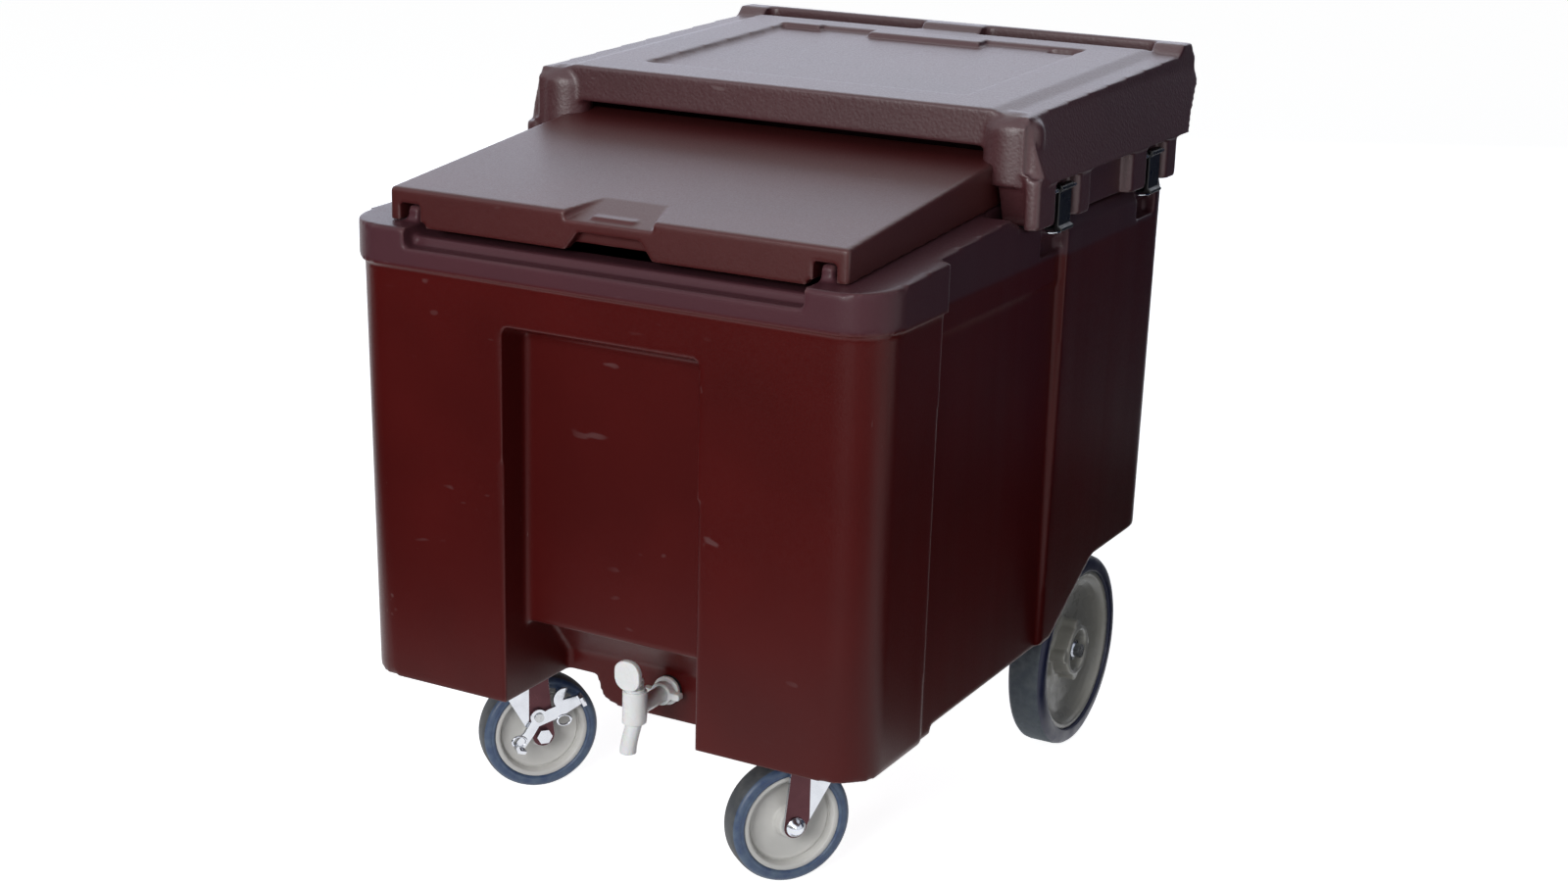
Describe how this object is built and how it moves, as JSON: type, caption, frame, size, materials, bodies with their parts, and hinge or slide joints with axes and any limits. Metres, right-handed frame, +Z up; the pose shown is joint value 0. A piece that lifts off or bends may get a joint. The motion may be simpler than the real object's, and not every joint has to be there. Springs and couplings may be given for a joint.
{
  "type": "mobile ice bin",
  "caption": "Insulated ice bin on two swivel casters and two large rear wheels, with a sliding lid, a latched hood with a push handle, and a drain tap.",
  "frame": {"origin": "centre of the bounding box's base, on the floor", "axes": "+Z up, -Y towards the front with the tap, +X to the right as seen from the front"},
  "size_m": [0.612, 0.8, 0.769],
  "materials": {
    "shell": "satin",
    "lid": "satin",
    "shelf": "smooth",
    "seal": "matte",
    "latch": "matte",
    "pins": "brushed",
    "tap": "gloss",
    "plated": "zinc plated",
    "bracket": "powder coat",
    "caster_core": "satin",
    "wheel_core": "satin",
    "bush": "smooth",
    "tyre": "matte"
  },
  "bodies": {
    "tub": {"body_shell": "shell", "drain_shelf": "shelf", "tap_body": "tap", "tap_seal": "seal", "tap_wing_nut": "tap", "tap_lock_nut": "tap", "tap_bonnet": "tap", "tap_pin": "pins", "rear_axle": "plated", "caster_plate_right": "plated", "caster_bolts_right": "plated", "caster_race_right": "plated", "kingpin_right": "plated", "axle_bracket_right": "bracket", "bracket_bolts_right": "plated", "rear_washer_right": "plated", "axle_nut_right": "plated", "caster_plate_left": "plated", "caster_bolts_left": "plated", "caster_race_left": "plated", "kingpin_left": "plated", "axle_bracket_left": "bracket", "bracket_bolts_left": "plated", "rear_washer_left": "plated", "axle_nut_left": "plated"},
    "lid": {"sliding_lid": "lid"},
    "hood": {"hood_shell": "shell", "hood_seal": "seal", "latch_pin_front_right": "pins", "latch_pin_front_left": "pins", "latch_pin_rear_right": "pins", "latch_pin_rear_left": "pins"},
    "tap_lever": {"tap_lever": "tap"},
    "brake": {"brake_lever": "plated"},
    "latch_front_right": {"latch_front_right": "latch"},
    "latch_front_left": {"latch_front_left": "latch"},
    "latch_rear_right": {"latch_rear_right": "latch"},
    "latch_rear_left": {"latch_rear_left": "latch"},
    "caster_fork_right": {"caster_fork_right": "plated", "caster_axle_right": "plated", "caster_nut_right": "plated"},
    "caster_wheel_right": {"caster_core_right": "caster_core", "caster_tyre_right": "tyre", "caster_bush_right": "bush"},
    "rear_wheel_right": {"rear_core_right": "wheel_core", "rear_tyre_right": "tyre", "rear_bush_right": "bush"},
    "caster_fork_left": {"caster_fork_left": "plated", "caster_axle_left": "plated", "caster_nut_left": "plated", "brake_pin": "pins"},
    "caster_wheel_left": {"caster_core_left": "caster_core", "caster_tyre_left": "tyre", "caster_bush_left": "bush"},
    "rear_wheel_left": {"rear_core_left": "wheel_core", "rear_tyre_left": "tyre", "rear_bush_left": "bush"}
  },
  "joints": [
    {"name": "lid_slide", "type": "slide", "parent": "tub", "child": "lid", "axis": [0, 0.9978, 0.0663], "range_m": [0, 0.28]},
    {"name": "hood_lift", "type": "slide", "parent": "tub", "child": "hood", "axis": [0, 0, 1], "range_m": [0, 0.1]},
    {"name": "tap_turn", "type": "hinge", "parent": "tub", "child": "tap_lever", "pos_m": [0.012, -0.342, 0.187], "axis": [-1, 0, 0], "range_deg": [0, 75]},
    {"name": "latch_front_right_hinge", "type": "hinge", "parent": "hood", "child": "latch_front_right", "pos_m": [0.299, 0.002, 0.664], "axis": [0, -1, 0], "range_deg": [0, 100]},
    {"name": "latch_front_left_hinge", "type": "hinge", "parent": "hood", "child": "latch_front_left", "pos_m": [-0.299, 0.002, 0.664], "axis": [0, 1, 0], "range_deg": [0, 100]},
    {"name": "latch_rear_right_hinge", "type": "hinge", "parent": "hood", "child": "latch_rear_right", "pos_m": [0.299, 0.25, 0.664], "axis": [0, -1, 0], "range_deg": [0, 100]},
    {"name": "latch_rear_left_hinge", "type": "hinge", "parent": "hood", "child": "latch_rear_left", "pos_m": [-0.299, 0.25, 0.664], "axis": [0, 1, 0], "range_deg": [0, 100]},
    {"name": "caster_swivel_right", "type": "hinge", "parent": "tub", "child": "caster_fork_right", "pos_m": [0.191, -0.2785, 0.139], "axis": [0, 0, 1], "continuous": true},
    {"name": "caster_roll_right", "type": "hinge", "parent": "caster_fork_right", "child": "caster_wheel_right", "pos_m": [0.16869, -0.30675, 0.0635], "axis": [0.7848, -0.6198, 0], "continuous": true},
    {"name": "rear_roll_right", "type": "hinge", "parent": "tub", "child": "rear_wheel_right", "pos_m": [0.26, 0.169, 0.108], "axis": [1, 0, 0], "continuous": true},
    {"name": "caster_swivel_left", "type": "hinge", "parent": "tub", "child": "caster_fork_left", "pos_m": [-0.191, -0.2785, 0.139], "axis": [0, 0, 1], "continuous": true},
    {"name": "caster_roll_left", "type": "hinge", "parent": "caster_fork_left", "child": "caster_wheel_left", "pos_m": [-0.16776, -0.251, 0.0635], "axis": [-0.7638, 0.6455, 0], "continuous": true},
    {"name": "rear_roll_left", "type": "hinge", "parent": "tub", "child": "rear_wheel_left", "pos_m": [-0.26, 0.169, 0.108], "axis": [1, 0, 0], "continuous": true},
    {"name": "brake_press", "type": "hinge", "parent": "caster_fork_left", "child": "brake", "pos_m": [-0.17164, -0.25559, 0.086], "axis": [-0.7638, 0.6455, 0], "range_deg": [0, 18]}
  ],
  "couplings": [
    {"joint": "latch_front_right_hinge", "follows": "hood_lift", "rad_per_m": 17.45},
    {"joint": "latch_front_left_hinge", "follows": "hood_lift", "rad_per_m": 17.45},
    {"joint": "latch_rear_right_hinge", "follows": "hood_lift", "rad_per_m": 17.45},
    {"joint": "latch_rear_left_hinge", "follows": "hood_lift", "rad_per_m": 17.45}
  ]
}
